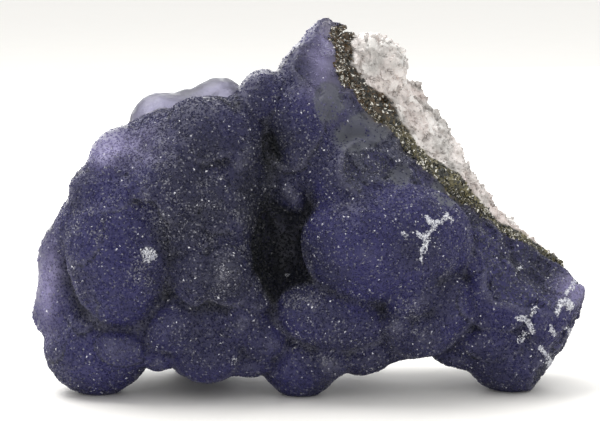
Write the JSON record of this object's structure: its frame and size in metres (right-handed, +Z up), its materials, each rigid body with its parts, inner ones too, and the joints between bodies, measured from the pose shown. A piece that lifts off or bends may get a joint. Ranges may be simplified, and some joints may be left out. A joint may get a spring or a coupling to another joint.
{
  "type": "fluorite specimen",
  "caption": "Hand specimen of blue-violet fluorite in rounded overlapping lobes, grown on white quartz and standing on its own lobes.",
  "frame": {"origin": "on the surface that the specimen stands on, under the middle of its box", "axes": "+X to the right as seen from the pictured side, +Y to the back, +Z up"},
  "size_m": [0.1119, 0.0477, 0.0746],
  "materials": {
    "blue_violet_fluorite": "frosted, faintly translucent, with a fine glittering skin of tiny crystals",
    "white_quartz": "broken, sugary and translucent, stained olive brown along the contact"
  },
  "bodies": {
    "root": {"botryoidal_fluorite": "blue_violet_fluorite", "quartz_matrix": "white_quartz"}
  },
  "joints": []
}
